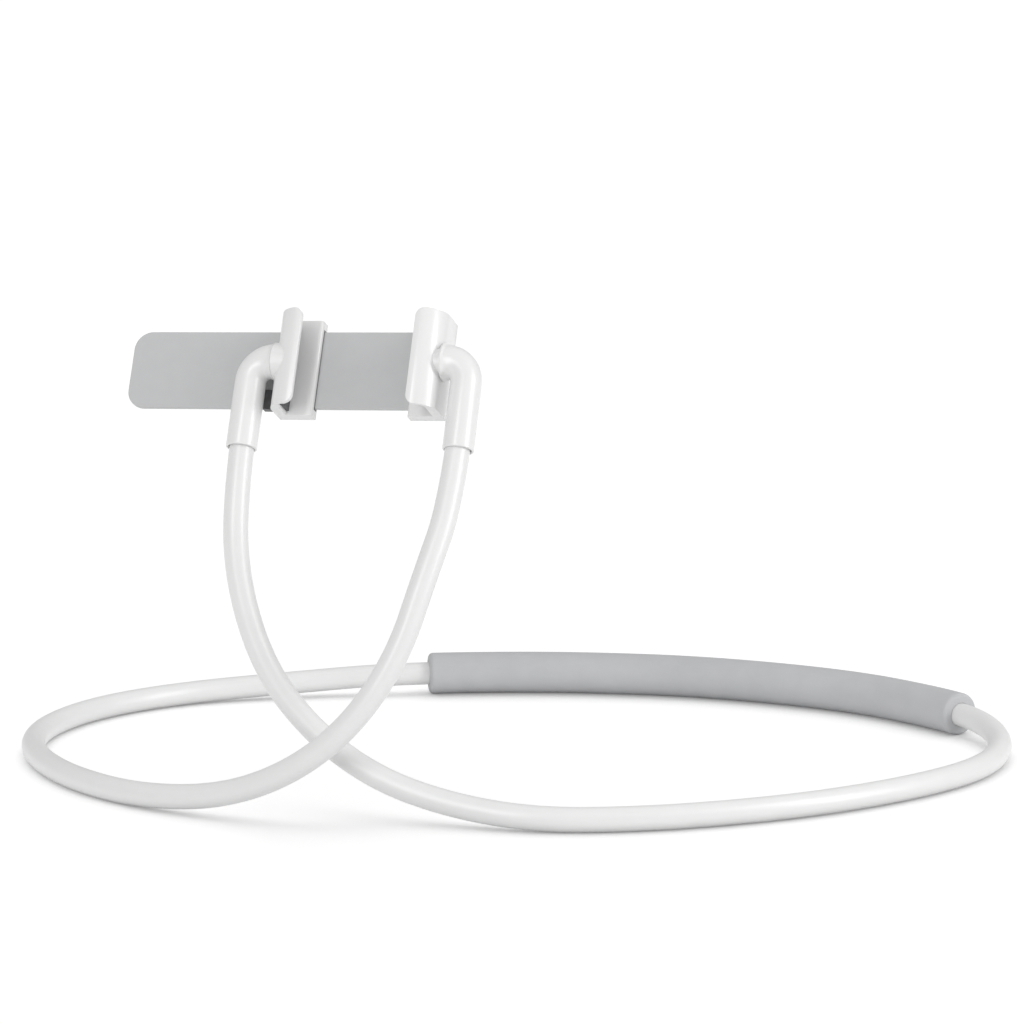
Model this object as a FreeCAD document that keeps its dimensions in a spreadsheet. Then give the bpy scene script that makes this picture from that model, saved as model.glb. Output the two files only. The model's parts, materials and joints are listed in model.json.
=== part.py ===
import FreeCAD, Part
import math
import os
import Sketcher
from FreeCAD import Placement, Rotation, Vector

# Neck phone holder: a bendable tube lies in a loop on the floor, its two ends
# cross and rise to two elbows, and the elbows carry a clamp between them.
# Millimetres, +Z up. The origin is on the floor, under the middle of the loop.

doc = FreeCAD.newDocument("neck_phone_holder")
sizes = doc.addObject("Spreadsheet::Sheet", "sizes")
places = doc.addObject("App::VarSet", "places")

# Driving dimensions

DRIVING = {
    # where the clamp stands over the loop
    "pivot_x": -47.53,
    "pivot_y": -89.13,
    "pivot_height": 210.4,
    "head_lean": 29,
    "head_roll": 2.2,
    # clamp jaws
    "clamp_opening": 71,
    "pad_thickness": 1.5,
    "pad_edge_gap": 0.4,
    "pad_end_gap": 2,
    "groove_width": 1.2,
    "groove_depth": 0.5,
    "groove_count": 9,
    "groove_pitch": 4.4,
    "jaw_wall": 5,
    "jaw_rail": 3.8,
    "jaw_corner": 12,
    "jaw_inner_corner": 4,
    "jaw_rim": 0.8,
    "lip_cover": 7,
    "lip_thickness": 2.4,
    "lip_corner": 4.5,
    "pivot_to_lip": 10.6,
    "block_length": 18,
    "block_corner": 1.6,
    "slot_wall": 2.2,
    # sliding plate and what guides it
    "pivot_to_plate": 10.6,
    "plate_thickness": 2.4,
    "plate_height": 39.4,
    "plate_corner": 9,
    "plate_rim": 0.5,
    "plate_reach": 121.6,
    "plate_end_wall": 2,
    "plate_fit": 0.1,
    "slide_clearance": 0.15,
    "liner_thickness": 0.7,
    "tongue_length": 8,
    "tongue_top": 10.6,
    # rear covers and their screws
    "cover_thickness": 2.6,
    "cover_corner": 2.2,
    "cover_screw_diameter": 1.8,
    "cover_screw_skin": 1.2,
    "cover_screw_inset": 3.4,
    "small_head_diameter": 3,
    "small_head_height": 1.1,
    "small_head_floor": 0.5,
    "cross_width": 0.6,
    "cross_depth": 0.6,
    "plate_screw_drop": 10.5,
    # stop of the sliding jaw and the leaf spring that holds it
    "stop_diameter": 3,
    "stop_drop": 6.5,
    "stop_clearance": 0.3,
    "stop_depth": 0.7,
    "groove_floor": 1.2,
    "slide_out": 65,
    "slide_in": 16,
    "spring_length": 12,
    "spring_width": 8,
    "spring_thickness": 0.35,
    "spring_pocket": 1.5,
    "spring_gap": 0.3,
    # swivels
    "swivel_gap": 0.5,
    "boss_diameter": 18.6,
    "boss_sink": 1,
    "pivot_web": 2.4,
    "pivot_screw_diameter": 4,
    "pivot_screw_bite": 9,
    "pivot_head_diameter": 7.5,
    "pivot_head_height": 1.7,
    "recess_gap": 0.5,
    "running_gap": 0.1,
    "thread_gap": 0.05,
    "friction_washer_inset": 0.35,
    "spring_washer_thickness": 0.6,
    # elbows
    "arm_diameter": 19,
    "arm_rim": 0.5,
    "stub_length": 1.5,
    "stub_diameter": 17.2,
    "bend_radius": 10.3,
    "bend_diameter": 15.8,
    "leg_diameter": 15,
    "leg_drop": 44.2,
    "collar_rim": 0.9,
    "tube_insert": 22,
    "socket_gap": 0.15,
    "ferrule_diameter": 8,
    "ferrule_length": 8,
    "grub_diameter": 3,
    "grub_sink": 0.4,
    # tube, core and foam
    "tube_diameter": 12,
    "core_diameter": 5,
    "core_gap": 0.15,
    "tube_lead": 47,
    "loop_width": 478.5,
    "loop_depth": 310,
    "foam_diameter": 22,
    "foam_rounding": 2.3,
}

for row, (name, number) in enumerate(DRIVING.items(), start=1):
    sizes.set(f"A{row}", name)
    sizes.set(f"B{row}", str(number))
    sizes.setAlias(f"B{row}", name)
doc.recompute()

# Places worked out from the driving dimensions. They are in the clamp's own frame:
# origin on the swivel axis midway between the jaws, X along that axis,
# Y to the rear and Z up along the jaws. The right jaw is the one at +X.

WORKED_OUT = {
    "pad_face": "sizes.clamp_opening / 2",
    "wall_inner": "places.pad_face + sizes.pad_thickness",
    "wall_outer": "places.wall_inner + sizes.jaw_wall",
    "lip_edge": "places.pad_face - sizes.lip_cover",
    "lip_front": "-sizes.pivot_to_lip",
    "lip_back": "places.lip_front + sizes.lip_thickness",
    "plate_front": "sizes.pivot_to_plate",
    "plate_back": "places.plate_front + sizes.plate_thickness",
    "plate_top": "sizes.plate_height / 2",
    "plate_end": "places.wall_outer - sizes.plate_end_wall",
    "liner_inner": "places.plate_front - sizes.slide_clearance",
    "liner_front": "places.liner_inner - sizes.liner_thickness",
    "liner_opening": "places.plate_top + sizes.slide_clearance",
    "liner_top": "places.liner_opening + sizes.liner_thickness",
    "jaw_top": "places.liner_top + sizes.jaw_rail",
    "pad_top": "places.jaw_top - sizes.pad_end_gap",
    "block_front": "places.liner_front - sizes.slot_wall",
    "block_inner": "places.wall_outer - sizes.block_length",
    "block_middle": "places.wall_outer - sizes.block_length / 2",
    "cover_front": "places.plate_back + sizes.slide_clearance",
    "cover_back": "places.cover_front + sizes.cover_thickness",
    "pad_front": "places.lip_back + sizes.jaw_inner_corner + sizes.pad_edge_gap",
    "pad_back": "places.block_front - sizes.pad_edge_gap",
    "groove_bottom": "places.pad_face + sizes.groove_depth",
    "elbow_face": "places.wall_outer + sizes.swivel_gap",
    "stub_end": "places.elbow_face + sizes.stub_length",
    "leg_x": "places.stub_end + sizes.bend_radius",
    "web_inner": "places.wall_outer - sizes.pivot_web",
    "pivot_head_under": "places.web_inner - sizes.spring_washer_thickness",
    "pivot_head_top": "places.pivot_head_under - sizes.pivot_head_height",
    "pivot_tip": "places.elbow_face + sizes.pivot_screw_bite",
    "pivot_radius": "sizes.pivot_screw_diameter / 2",
    "pivot_hole": "places.pivot_radius + sizes.running_gap",
    "pivot_head_radius": "sizes.pivot_head_diameter / 2",
    "arm_radius": "sizes.arm_diameter / 2",
    "boss_radius": "sizes.boss_diameter / 2",
    "friction_radius": "places.boss_radius - sizes.friction_washer_inset",
    "on_axis": "0",
    "collar": "-sizes.leg_drop",
    "tube_end": "places.collar + sizes.tube_insert",
    "core_end": "places.tube_end + sizes.ferrule_length",
    "lead_end": "places.tube_end - sizes.tube_lead",
    "ferrule_middle": "places.tube_end + sizes.ferrule_length / 2",
    "ferrule_radius": "sizes.ferrule_diameter / 2",
    "leg_radius": "sizes.leg_diameter / 2",
    "tube_radius": "sizes.tube_diameter / 2",
    "screw_head_front": "places.cover_front + sizes.small_head_floor",
    "screw_head_back": "places.screw_head_front + sizes.small_head_height",
    "screw_tip": "places.block_front + sizes.cover_screw_skin",
    "screw_height": "places.liner_top + sizes.jaw_rail / 2",
    "screw_near": "places.block_inner + sizes.cover_screw_inset",
    "screw_far": "places.wall_outer - sizes.cover_screw_inset",
    "plate_screw_height": "places.plate_top - sizes.plate_screw_drop",
    "stop_height": "places.plate_top - sizes.stop_drop",
    "stop_tip": "places.plate_back - sizes.stop_depth",
    "stop_radius": "sizes.stop_diameter / 2",
    "stop_slack": "places.stop_radius + sizes.stop_clearance",
    "spring_floor": "places.cover_front + sizes.spring_pocket",
}

for name, formula in WORKED_OUT.items():
    places.addProperty("App::PropertyFloat", name)
    places.setExpression(name, formula)
doc.recompute()

HEAD = Placement(
    Vector(sizes.pivot_x, sizes.pivot_y, sizes.pivot_height),
    Rotation(Vector(0, 1, 0), -sizes.head_roll).multiply(Rotation(Vector(1, 0, 0), -sizes.head_lean)),
)
TURN = {
    "x": Rotation(Vector(0, 1, 0), 90),
    "y": Rotation(Vector(1, 0, 0), -90),
    "z": Rotation(),
}
SIDES = {"left": -1, "right": 1}
OVERCUT = "1"
EDGE_SLACK = 0.1

parts = []


# Helpers


def sided(side, low, high):
    """The stretch of X from low to high on the right, or its mirror image on the left."""
    if side > 0:
        return low, high
    return f"-({high})", f"-({low})"


def box(name, x, y, z):
    """A block whose faces are bound to pairs of expressions."""
    item = doc.addObject("Part::Box", name)
    for size, axis, (low, high) in (("Length", "x", x), ("Width", "y", y), ("Height", "z", z)):
        item.setExpression(size, f"({high}) - ({low})")
        item.setExpression(f"Placement.Base.{axis}", low)
    return item


def rod(name, along, span, radius, **at):
    """A cylinder along one axis, from the first to the second expression of span."""
    item = doc.addObject("Part::Cylinder", name)
    item.Placement = Placement(Vector(), TURN[along])
    item.setExpression("Radius", radius)
    item.setExpression("Height", f"({span[1]}) - ({span[0]})")
    item.setExpression(f"Placement.Base.{along}", span[0])
    for axis, expression in at.items():
        item.setExpression(f"Placement.Base.{axis}", expression)
    return item


def fuse(name, *shapes):
    item = doc.addObject("Part::MultiFuse", name)
    item.Shapes = list(shapes)
    return item


def cut(name, base, *tools):
    item = doc.addObject("Part::Cut", name)
    item.Base = base
    item.Tool = tools[0] if len(tools) == 1 else fuse(f"{name}_tools", *tools)
    return item


def picked_edges(shape, test):
    """Numbers of the edges whose two ends and middle all pass the test."""
    found = []
    for number, edge in enumerate(shape.Edges, start=1):
        middle = edge.valueAt((edge.FirstParameter + edge.LastParameter) / 2)
        points = [vertex.Point for vertex in edge.Vertexes] + [middle]
        if all(test(point) for point in points):
            found.append(number)
    return found


def rounded(name, base, radius, test):
    doc.recompute()
    item = doc.addObject("Part::Fillet", name)
    item.Base = base
    item.Edges = [(number, radius, radius) for number in picked_edges(base.Shape, test)]
    return item


def near(value, target):
    return abs(value - target) < 0.01


def outline(body, name, plane_role, corners, side=1):
    """A closed sketch whose corners are bound to pairs of named places."""
    sketch = body.newObject("Sketcher::SketchObject", name)
    planes = [feature for feature in body.Origin.OriginFeatures if feature.Role == plane_role]
    sketch.AttachmentSupport = [(planes[0], "")]
    sketch.MapMode = "FlatFace"
    points = [Vector(side * getattr(places, x), getattr(places, y), 0) for x, y in corners]
    count = len(points)
    for index, point in enumerate(points):
        sketch.addGeometry(Part.LineSegment(point, points[(index + 1) % count]))
    for index, (x, y) in enumerate(corners):
        before = (index - 1) % count
        sketch.addConstraint(Sketcher.Constraint("Coincident", before, 2, index, 1))
        for kind, value, formula in (
            ("DistanceX", points[index].x, f"{side} * places.{x}"),
            ("DistanceY", points[index].y, f"places.{y}"),
        ):
            number = sketch.addConstraint(Sketcher.Constraint(kind, -1, 1, index, 1, value))
            sketch.setExpression(f"Constraints[{number}]", formula)
    return sketch


def turned(name, side, corners):
    """A body turned about the swivel axis from half of its section."""
    body = doc.addObject("PartDesign::Body", name)
    sketch = outline(body, f"{name}_section", "XY_Plane", corners, side)
    turn = body.newObject("PartDesign::Revolution", f"{name}_turn")
    turn.Profile = sketch
    turn.ReferenceAxis = (sketch, ["H_Axis"])
    turn.Angle = 360
    return body


def seat(item, label, placement=HEAD):
    """Gives a finished piece its name and its place."""
    item.Label = label
    item.Placement = placement
    parts.append(item)
    return item


# Jaws


def jaw_blank(word, side):
    """The C-shaped moulding of a jaw, before its slot and holes."""
    body = doc.addObject("PartDesign::Body", f"{word}_jaw_blank")
    sketch = outline(
        body,
        f"{word}_jaw_outline",
        "XY_Plane",
        [
            ("lip_edge", "lip_front"),
            ("wall_outer", "lip_front"),
            ("wall_outer", "cover_front"),
            ("block_inner", "cover_front"),
            ("block_inner", "block_front"),
            ("wall_inner", "block_front"),
            ("wall_inner", "lip_back"),
            ("lip_edge", "lip_back"),
        ],
        side,
    )
    pad = body.newObject("PartDesign::Pad", f"{word}_jaw_pad")
    pad.Profile = sketch
    pad.SideType = "Symmetric"
    pad.setExpression("Length", "2 * places.jaw_top")
    doc.recompute()

    def at(x, y):
        return lambda p: near(side * p.x, x) and near(p.y, y)

    upright = rounded(
        f"{word}_jaw_front", body, sizes.jaw_corner, at(places.wall_outer, places.lip_front)
    )
    inner = rounded(
        f"{word}_jaw_inside", upright, sizes.jaw_inner_corner, at(places.wall_inner, places.lip_back)
    )
    block = rounded(
        f"{word}_jaw_block", inner, sizes.block_corner, at(places.block_inner, places.block_front)
    )
    tip = rounded(
        f"{word}_jaw_tip",
        block,
        sizes.lip_corner,
        lambda p: near(side * p.x, places.lip_edge) and near(abs(p.z), places.jaw_top),
    )
    flat_end = places.wall_outer - sizes.jaw_corner + EDGE_SLACK
    tip_end = places.lip_edge + sizes.lip_corner + EDGE_SLACK

    def on_front_rim(p):
        on_flat = near(p.y, places.lip_front) and side * p.x < flat_end
        return on_flat and (near(abs(p.z), places.jaw_top) or side * p.x < tip_end)

    return rounded(f"{word}_jaw_rim", tip, sizes.jaw_rim, on_front_rim)


def swivel_boss(word, side):
    """A round boss on the curved side of a jaw, against which the elbow turns."""
    blank = rod(
        f"{word}_boss_blank",
        "x",
        sided(side, "places.wall_outer - sizes.jaw_corner", "places.wall_outer"),
        "places.boss_radius",
    )
    core = box(
        f"{word}_boss_core",
        sided(side, "0", "places.wall_outer - sizes.boss_sink"),
        ("places.lip_front + sizes.boss_sink", "places.cover_front"),
        ("-places.jaw_top", "places.jaw_top"),
    )
    core_side = places.wall_outer - sizes.boss_sink
    core_front = places.lip_front + sizes.boss_sink
    inside = rounded(
        f"{word}_boss_inside",
        core,
        sizes.jaw_corner - sizes.boss_sink,
        lambda p: near(side * p.x, core_side) and near(p.y, core_front),
    )
    return cut(f"{word}_boss", blank, inside)


def cover_screw_spots():
    """Where the four cover screws stand, as X and Z expressions."""
    columns = ("places.screw_near", "places.screw_far")
    rows = ("places.screw_height", "-places.screw_height")
    return [(x, z) for x in columns for z in rows]


def plate_screw_spots():
    """Where the two plate screws stand, as X and Z expressions."""
    return [("places.block_middle", z) for z in ("places.plate_screw_height", "-places.plate_screw_height")]


def signed(side, expression):
    return expression if side > 0 else f"-({expression})"


def holes(name, side, spots, span, radius):
    """Drills along Y at each spot."""
    return [
        rod(f"{name}_{index}", "y", span, radius, x=signed(side, x), z=z)
        for index, (x, z) in enumerate(spots, start=1)
    ]


def jaw(word, side):
    if word == "left":
        slot = box(
            "left_slot",
            sided(side, f"places.block_inner - {OVERCUT}", f"places.wall_outer + {OVERCUT}"),
            ("places.liner_front", f"places.cover_front + {OVERCUT}"),
            ("-places.liner_top", "places.liner_top"),
        )
    else:
        slot = box(
            "right_slot",
            sided(side, f"places.block_inner - {OVERCUT}", "places.plate_end + sizes.plate_fit"),
            ("places.plate_front", f"places.cover_front + {OVERCUT}"),
            ("-places.plate_top - sizes.plate_fit", "places.plate_top + sizes.plate_fit"),
        )
    pivot_hole = rod(
        f"{word}_pivot_hole",
        "x",
        sided(side, "places.wall_inner", f"places.wall_outer + {OVERCUT}"),
        "places.pivot_hole",
    )
    recess = rod(
        f"{word}_pivot_recess",
        "x",
        sided(side, f"places.wall_inner - {OVERCUT}", "places.web_inner"),
        "places.pivot_head_radius + sizes.recess_gap",
    )
    pilots = holes(
        f"{word}_pilot",
        side,
        cover_screw_spots(),
        ("places.screw_tip", f"places.cover_front + {OVERCUT}"),
        "sizes.cover_screw_diameter / 2 + sizes.thread_gap",
    )
    body = fuse(f"{word}_jaw_body", jaw_blank(word, side), swivel_boss(word, side))
    seat(cut(f"{word}_jaw_cut", body, slot, pivot_hole, recess, *pilots), f"{word}_jaw")


def pad(word, side):
    """The ribbed rubber strip on the inner face of a jaw."""
    strip = box(
        f"{word}_strip",
        sided(side, "places.pad_face", "places.wall_inner"),
        ("places.pad_front", "places.pad_back"),
        ("-places.pad_top", "places.pad_top"),
    )
    grooves = []
    for index in range(int(sizes.groove_count)):
        middle = f"({index} - (sizes.groove_count - 1) / 2) * sizes.groove_pitch"
        grooves.append(
            box(
                f"{word}_groove_{index + 1}",
                sided(side, f"places.pad_face - {OVERCUT}", "places.groove_bottom"),
                (f"places.pad_front - {OVERCUT}", f"places.pad_back + {OVERCUT}"),
                (f"{middle} - sizes.groove_width / 2", f"{middle} + sizes.groove_width / 2"),
            )
        )
    seat(cut(f"{word}_pad_cut", strip, *grooves), f"{word}_pad")


# Rear covers and small screws


def small_screw(name, tip, shank):
    """A pan-head screw with a cross recess, its axis along Y through the origin."""
    head_span = ("places.screw_head_front", "places.screw_head_back")
    head = rod(f"{name}_head", "y", head_span, "sizes.small_head_diameter / 2")
    stem = rod(f"{name}_stem", "y", (tip, "places.screw_head_front"), shank)
    half = "sizes.cross_width / 2"
    arm = "sizes.small_head_diameter / 3"
    depth = ("places.screw_head_back - sizes.cross_depth", f"places.screw_head_back + {OVERCUT}")
    flat = box(f"{name}_cross_flat", (f"-{arm}", arm), depth, (f"-{half}", half))
    tall = box(f"{name}_cross_tall", (f"-{half}", half), depth, (f"-{arm}", arm))
    return cut(f"{name}_recessed", fuse(f"{name}_blank", head, stem), flat, tall)


def screw_group(label, pattern, spots):
    """Copies of one screw at each spot, kept as separate solids in one piece."""
    doc.recompute()
    copies = []
    for x, z in spots:
        copy = pattern.Shape.copy()
        copy.translate(Vector(x, 0, z))
        copies.append(copy)
    group = doc.addObject("Part::Feature", f"{label}_group")
    group.Shape = Part.makeCompound(copies)
    seat(group, label)


def rear_cover(word, side):
    """The plate that closes the back of a jaw, sunk for its screws."""
    slab = box(
        f"{word}_cover_slab",
        sided(side, "places.block_inner", "places.wall_outer"),
        ("places.cover_front", "places.cover_back"),
        ("-places.jaw_top", "places.jaw_top"),
    )
    blank = rounded(f"{word}_cover_rim", slab, sizes.cover_corner, lambda p: near(p.y, places.cover_back))
    spots = cover_screw_spots()
    head_spots = list(spots)
    shank_tools = holes(
        f"{word}_cover_shank",
        side,
        spots,
        (f"places.cover_front - {OVERCUT}", "places.cover_back"),
        "sizes.cover_screw_diameter / 2 + sizes.thread_gap",
    )
    tools = list(shank_tools)
    if word == "left":
        head_spots.append(("places.block_middle", "places.stop_height"))
        tools += holes(
            "left_stop_hole",
            side,
            head_spots[-1:],
            (f"places.cover_front - {OVERCUT}", "places.cover_back"),
            "places.stop_radius + sizes.thread_gap",
        )
        tools.append(
            box(
                "spring_pocket_box",
                sided(
                    side,
                    "places.block_middle - sizes.spring_length / 2 - sizes.spring_gap",
                    "places.block_middle + sizes.spring_length / 2 + sizes.spring_gap",
                ),
                (f"places.cover_front - {OVERCUT}", "places.spring_floor"),
                (
                    "-sizes.spring_width / 2 - sizes.spring_gap",
                    "sizes.spring_width / 2 + sizes.spring_gap",
                ),
            )
        )
    else:
        head_spots += plate_screw_spots()
        tools += holes(
            "right_plate_screw_hole",
            side,
            plate_screw_spots(),
            (f"places.cover_front - {OVERCUT}", "places.cover_back"),
            "sizes.cover_screw_diameter / 2 + sizes.thread_gap",
        )
    tools += holes(
        f"{word}_head_recess",
        side,
        head_spots,
        ("places.screw_head_front", f"places.cover_back + {OVERCUT}"),
        "sizes.small_head_diameter / 2 + sizes.running_gap",
    )
    seat(cut(f"{word}_cover_cut", blank, *tools), f"{word}_rear_cover")


def cover_screws(word, side):
    tip = "places.screw_tip + sizes.thread_gap"
    pattern = small_screw(f"{word}_cover", tip, "sizes.cover_screw_diameter / 2")
    columns = (places.screw_near, places.screw_far)
    rows = (places.screw_height, -places.screw_height)
    spots = [(side * x, z) for x in columns for z in rows]
    screw_group(f"{word}_cover_screws", pattern, spots)


def plate_screws():
    """Two screws that hold the plate's end in the right jaw."""
    pattern = small_screw("plate", "places.plate_front + sizes.plate_fit", "sizes.cover_screw_diameter / 2")
    spots = [(places.block_middle, z) for z in (places.plate_screw_height, -places.plate_screw_height)]
    screw_group("plate_screws", pattern, spots)


# Sliding plate, its liner, spring and stop


def back_plate():
    slab = box(
        "plate_slab",
        ("-sizes.plate_reach", "places.plate_end"),
        ("places.plate_front", "places.plate_back"),
        ("-places.plate_top", "places.plate_top"),
    )
    corners = rounded(
        "plate_corners",
        slab,
        sizes.plate_corner,
        lambda p: near(p.x, -sizes.plate_reach) and near(abs(p.z), places.plate_top),
    )

    def on_plate_face(p):
        return near(p.y, places.plate_front) or near(p.y, places.plate_back)

    rim = rounded(
        "plate_rims",
        corners,
        sizes.plate_rim,
        lambda p: near(p.x, -sizes.plate_reach) and on_plate_face(p),
    )
    stop_run = box(
        "stop_run",
        (
            "-places.block_middle - sizes.slide_out - places.stop_slack",
            "-places.block_middle + sizes.slide_in + places.stop_slack",
        ),
        ("places.plate_back - sizes.groove_floor", f"places.plate_back + {OVERCUT}"),
        ("places.stop_height - places.stop_slack", "places.stop_height + places.stop_slack"),
    )
    drills = holes(
        "plate_drill",
        1,
        plate_screw_spots(),
        (f"places.plate_front - {OVERCUT}", f"places.plate_back + {OVERCUT}"),
        "sizes.cover_screw_diameter / 2 + sizes.thread_gap",
    )
    seat(cut("plate_cut", rim, stop_run, *drills), "back_plate")


def guide_liner():
    """The dark slide shoe in the left jaw, with a tongue below the swivel."""
    side = SIDES["left"]
    depth = ("places.liner_front", "places.cover_front")
    sleeve = box(
        "liner_sleeve",
        sided(side, "places.block_inner", "places.wall_outer"),
        depth,
        ("-places.liner_top", "places.liner_top"),
    )
    tongue = box(
        "liner_tongue",
        sided(side, "places.wall_outer", "places.wall_outer + sizes.tongue_length"),
        depth,
        ("-places.liner_top", "-sizes.tongue_top"),
    )
    channel = box(
        "liner_channel",
        sided(
            side,
            f"places.block_inner - {OVERCUT}",
            f"places.wall_outer + sizes.tongue_length + {OVERCUT}",
        ),
        ("places.liner_inner", f"places.cover_front + {OVERCUT}"),
        ("-places.liner_opening", "places.liner_opening"),
    )
    seat(cut("liner_cut", fuse("liner_blank", sleeve, tongue), channel), "guide_liner")


def leaf_spring():
    """An arched steel strip in the left rear cover that bears on the plate."""
    side = SIDES["left"]
    middle = side * places.block_middle
    half = sizes.spring_length / 2
    floor = places.spring_floor
    crest = places.plate_back + sizes.spring_gap
    thick = sizes.spring_thickness
    foot_low = Vector(middle - half, floor - thick, -sizes.spring_width / 2)
    foot_high = Vector(middle + half, floor - thick, -sizes.spring_width / 2)
    top = Vector(middle, crest, -sizes.spring_width / 2)
    lift = Vector(0, thick, 0)
    section = Part.Wire(
        [
            Part.Arc(foot_low, top, foot_high).toShape(),
            Part.LineSegment(foot_high, foot_high + lift).toShape(),
            Part.Arc(foot_high + lift, top + lift, foot_low + lift).toShape(),
            Part.LineSegment(foot_low + lift, foot_low).toShape(),
        ]
    )
    strip = doc.addObject("Part::Feature", "leaf_strip")
    strip.Shape = Part.Face(section).extrude(Vector(0, 0, sizes.spring_width))
    seat(strip, "leaf_spring")


def stop_screw():
    pattern = small_screw("stop", "places.stop_tip", "places.stop_radius")
    screw_group("stop_screw", pattern, [(SIDES["left"] * places.block_middle, places.stop_height)])


# Swivels


def swivel(word, side):
    """The screw and two washers on which a jaw turns against its elbow."""
    screw = turned(
        f"{word}_pivot_body",
        side,
        [
            ("pivot_head_top", "on_axis"),
            ("pivot_tip", "on_axis"),
            ("pivot_tip", "pivot_radius"),
            ("pivot_head_under", "pivot_radius"),
            ("pivot_head_under", "pivot_head_radius"),
            ("pivot_head_top", "pivot_head_radius"),
        ],
    )
    seat(screw, f"{word}_pivot_screw")
    friction = turned(
        f"{word}_friction_body",
        side,
        [
            ("wall_outer", "pivot_hole"),
            ("elbow_face", "pivot_hole"),
            ("elbow_face", "friction_radius"),
            ("wall_outer", "friction_radius"),
        ],
    )
    seat(friction, f"{word}_friction_washer")
    spring = turned(
        f"{word}_spring_body",
        side,
        [
            ("pivot_head_under", "pivot_hole"),
            ("web_inner", "pivot_hole"),
            ("web_inner", "pivot_head_radius"),
            ("pivot_head_under", "pivot_head_radius"),
        ],
    )
    seat(spring, f"{word}_spring_washer")


# Elbows


def ring(name, radius, placement):
    item = doc.addObject("Part::Circle", name)
    item.setExpression("Radius", radius)
    item.Placement = placement
    return item


def elbow(word, side):
    """A moulded elbow: a swivel arm that turns down into the socket for the tube."""
    halfway = sizes.bend_radius * math.sqrt(0.5)
    face = Vector(side * places.elbow_face, 0, 0)
    stub_end = Vector(side * places.stub_end, 0, 0)
    bend_middle = Vector(side * (places.stub_end + halfway), 0, halfway - sizes.bend_radius)
    leg_top = Vector(side * places.leg_x, 0, -sizes.bend_radius)
    bend = doc.addObject("Part::Feature", f"{word}_bend")
    bend.Shape = Part.Wire(
        [
            Part.LineSegment(face, stub_end).toShape(),
            Part.Arc(stub_end, bend_middle, leg_top).toShape(),
        ]
    )
    arm_ring = ring(f"{word}_arm_ring", "places.arm_radius", Placement(face, TURN["x"]))
    stub_ring = ring(f"{word}_stub_ring", "sizes.stub_diameter / 2", Placement(stub_end, TURN["x"]))
    bend_ring = ring(
        f"{word}_bend_ring",
        "sizes.bend_diameter / 2",
        Placement(bend_middle, Rotation(Vector(0, 1, 0), 135 if side > 0 else 45)),
    )
    leg_ring = ring(f"{word}_leg_ring", "places.leg_radius", Placement(leg_top, TURN["z"]))
    curve = doc.addObject("Part::Sweep", f"{word}_curve")
    curve.Sections = [arm_ring, stub_ring, bend_ring, leg_ring]
    curve.Spine = (bend, ["Edge1", "Edge2"])
    curve.Solid = True
    leg_x = signed(side, "places.leg_x")
    leg = rod(f"{word}_leg", "z", ("places.collar", "-sizes.bend_radius"), "places.leg_radius", x=leg_x)
    socket = rod(
        f"{word}_socket",
        "z",
        (f"places.collar - {OVERCUT}", "places.tube_end"),
        "places.tube_radius + sizes.socket_gap",
        x=leg_x,
    )
    core_bore = rod(
        f"{word}_core_bore",
        "z",
        (f"places.tube_end - {OVERCUT}", "places.core_end"),
        "places.ferrule_radius + sizes.thread_gap",
        x=leg_x,
    )
    pivot_bore = rod(
        f"{word}_pivot_bore",
        "x",
        sided(side, f"places.elbow_face - {OVERCUT}", "places.pivot_tip"),
        "places.pivot_radius + sizes.thread_gap",
    )
    grub_bore = rod(
        f"{word}_grub_bore",
        "y",
        ("0", f"places.leg_radius + {OVERCUT}"),
        "sizes.grub_diameter / 2 + sizes.thread_gap",
        x=leg_x,
        z="places.ferrule_middle",
    )
    blank = fuse(f"{word}_elbow_blank", curve, leg)
    solid = cut(f"{word}_elbow_cut", blank, socket, core_bore, pivot_bore, grub_bore)

    def outer_rim(p):
        from_axis = math.hypot(p.x - side * places.leg_x, p.y)
        return near(p.z, places.collar) and near(from_axis, places.leg_radius)

    def arm_rim(p):
        from_axis = math.hypot(p.y, p.z)
        return near(side * p.x, places.elbow_face) and near(from_axis, places.arm_radius)

    collar = rounded(f"{word}_collar_rim", solid, sizes.collar_rim, outer_rim)
    seat(rounded(f"{word}_arm_rim", collar, sizes.arm_rim, arm_rim), f"{word}_elbow")


def tube_anchor(word, side):
    """What holds the end of the core in an elbow: a crimped ferrule and a grub screw."""
    leg_x = signed(side, "places.leg_x")
    length = ("places.tube_end", "places.core_end")
    sleeve = rod(f"{word}_sleeve", "z", length, "places.ferrule_radius", x=leg_x)
    bore = rod(
        f"{word}_sleeve_bore",
        "z",
        (f"places.tube_end - {OVERCUT}", f"places.core_end + {OVERCUT}"),
        "sizes.core_diameter / 2 + sizes.thread_gap",
        x=leg_x,
    )
    seat(cut(f"{word}_sleeve_cut", sleeve, bore), f"{word}_core_ferrule")
    grub = rod(
        f"{word}_grub",
        "y",
        ("places.ferrule_radius + sizes.thread_gap", "places.leg_radius - sizes.grub_sink"),
        "sizes.grub_diameter / 2",
        x=leg_x,
        z="places.ferrule_middle",
    )
    slot = box(
        f"{word}_grub_slot",
        (f"{leg_x} - sizes.grub_diameter", f"{leg_x} + sizes.grub_diameter"),
        ("places.leg_radius - sizes.grub_sink - sizes.cross_depth", "places.leg_radius"),
        (
            "places.ferrule_middle - sizes.cross_width / 2",
            "places.ferrule_middle + sizes.cross_width / 2",
        ),
    )
    seat(cut(f"{word}_grub_cut", grub, slot), f"{word}_grub_screw")


# Tube, core and foam. The route runs from the left elbow round the loop to the right elbow.
# Its points are chosen by eye: X and Y from the spot on the floor under the swivel axis,
# and how high the underside of the tube is above the floor.

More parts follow.
